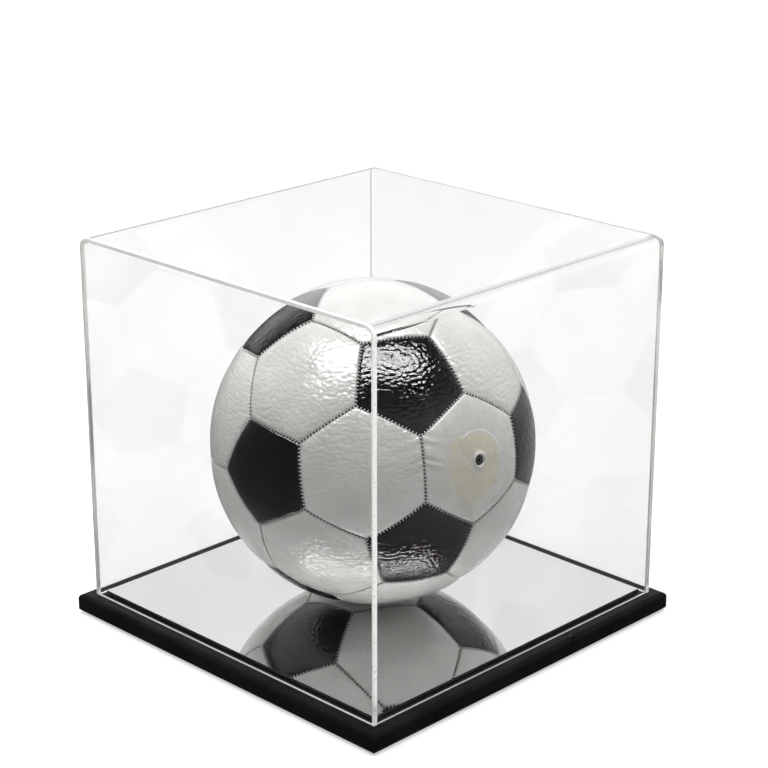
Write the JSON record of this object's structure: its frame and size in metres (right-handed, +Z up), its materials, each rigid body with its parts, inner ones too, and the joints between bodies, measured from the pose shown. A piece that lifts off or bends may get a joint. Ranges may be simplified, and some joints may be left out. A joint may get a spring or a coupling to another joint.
{
  "type": "football display case",
  "caption": "Lift-off clear acrylic cube cover over a black plinth with a mirror floor, showing a stitched football.",
  "frame": {"origin": "centre of the underside of the feet, on the surface that the case stands on", "axes": "+Z up; -Y out of the flat front panel of the cover; +X out of the right wall of the bent sheet"},
  "size_m": [0.288, 0.288, 0.2695],
  "materials": {
    "black_lacquer": "satin black lacquer on board",
    "foot_rubber": "matt black",
    "foam_tape": "white double-sided foam",
    "mirror": "silvered, polished",
    "clear_acrylic": "clear, polished",
    "white_leatherette": "grained, semi-gloss",
    "black_leatherette": "grained, glossy",
    "lining_cloth": "woven backing",
    "bladder_rubber": "smooth",
    "valve_rubber": "matt",
    "patch_film": "translucent film",
    "seam_thread": "waxed thread"
  },
  "bodies": {
    "base": {"base_feet": "foot_rubber", "base_plinth": "black_lacquer", "mirror_sheet": "mirror", "mirror_tape": "foam_tape"},
    "cover": {"cover_back_panel": "clear_acrylic", "cover_front_panel": "clear_acrylic", "cover_wrap": "clear_acrylic"},
    "ball": {"ball_bladder": "bladder_rubber", "ball_lining": "lining_cloth", "ball_valve": "valve_rubber", "hexagon_panel_01": "white_leatherette", "hexagon_panel_02": "white_leatherette", "hexagon_panel_03": "white_leatherette", "hexagon_panel_04": "white_leatherette", "hexagon_panel_05": "white_leatherette", "hexagon_panel_06": "white_leatherette", "hexagon_panel_07": "white_leatherette", "hexagon_panel_08": "white_leatherette", "hexagon_panel_09": "white_leatherette", "hexagon_panel_10": "white_leatherette", "hexagon_panel_11": "white_leatherette", "hexagon_panel_12": "white_leatherette", "hexagon_panel_13": "white_leatherette", "hexagon_panel_14": "white_leatherette", "hexagon_panel_15": "white_leatherette", "hexagon_panel_16": "white_leatherette", "hexagon_panel_17": "white_leatherette", "hexagon_panel_18": "white_leatherette", "hexagon_panel_19": "white_leatherette", "pentagon_panel_01": "black_leatherette", "pentagon_panel_02": "black_leatherette", "pentagon_panel_03": "black_leatherette", "pentagon_panel_04": "black_leatherette", "pentagon_panel_05": "black_leatherette", "pentagon_panel_06": "black_leatherette", "pentagon_panel_07": "black_leatherette", "pentagon_panel_08": "black_leatherette", "pentagon_panel_09": "black_leatherette", "pentagon_panel_10": "black_leatherette", "pentagon_panel_11": "black_leatherette", "pentagon_panel_12": "black_leatherette", "seam_thread": "seam_thread", "valve_panel": "white_leatherette", "valve_patch": "patch_film"}
  },
  "joints": [
    {"name": "cover_lift", "type": "slide", "parent": "base", "child": "cover", "axis": [0, 0, 1], "range_m": [0, 0.3]},
    {"name": "ball_turn", "type": "hinge", "parent": "base", "child": "ball", "pos_m": [0, 0, 0.1258], "axis": [0, 0, 1], "continuous": true}
  ]
}
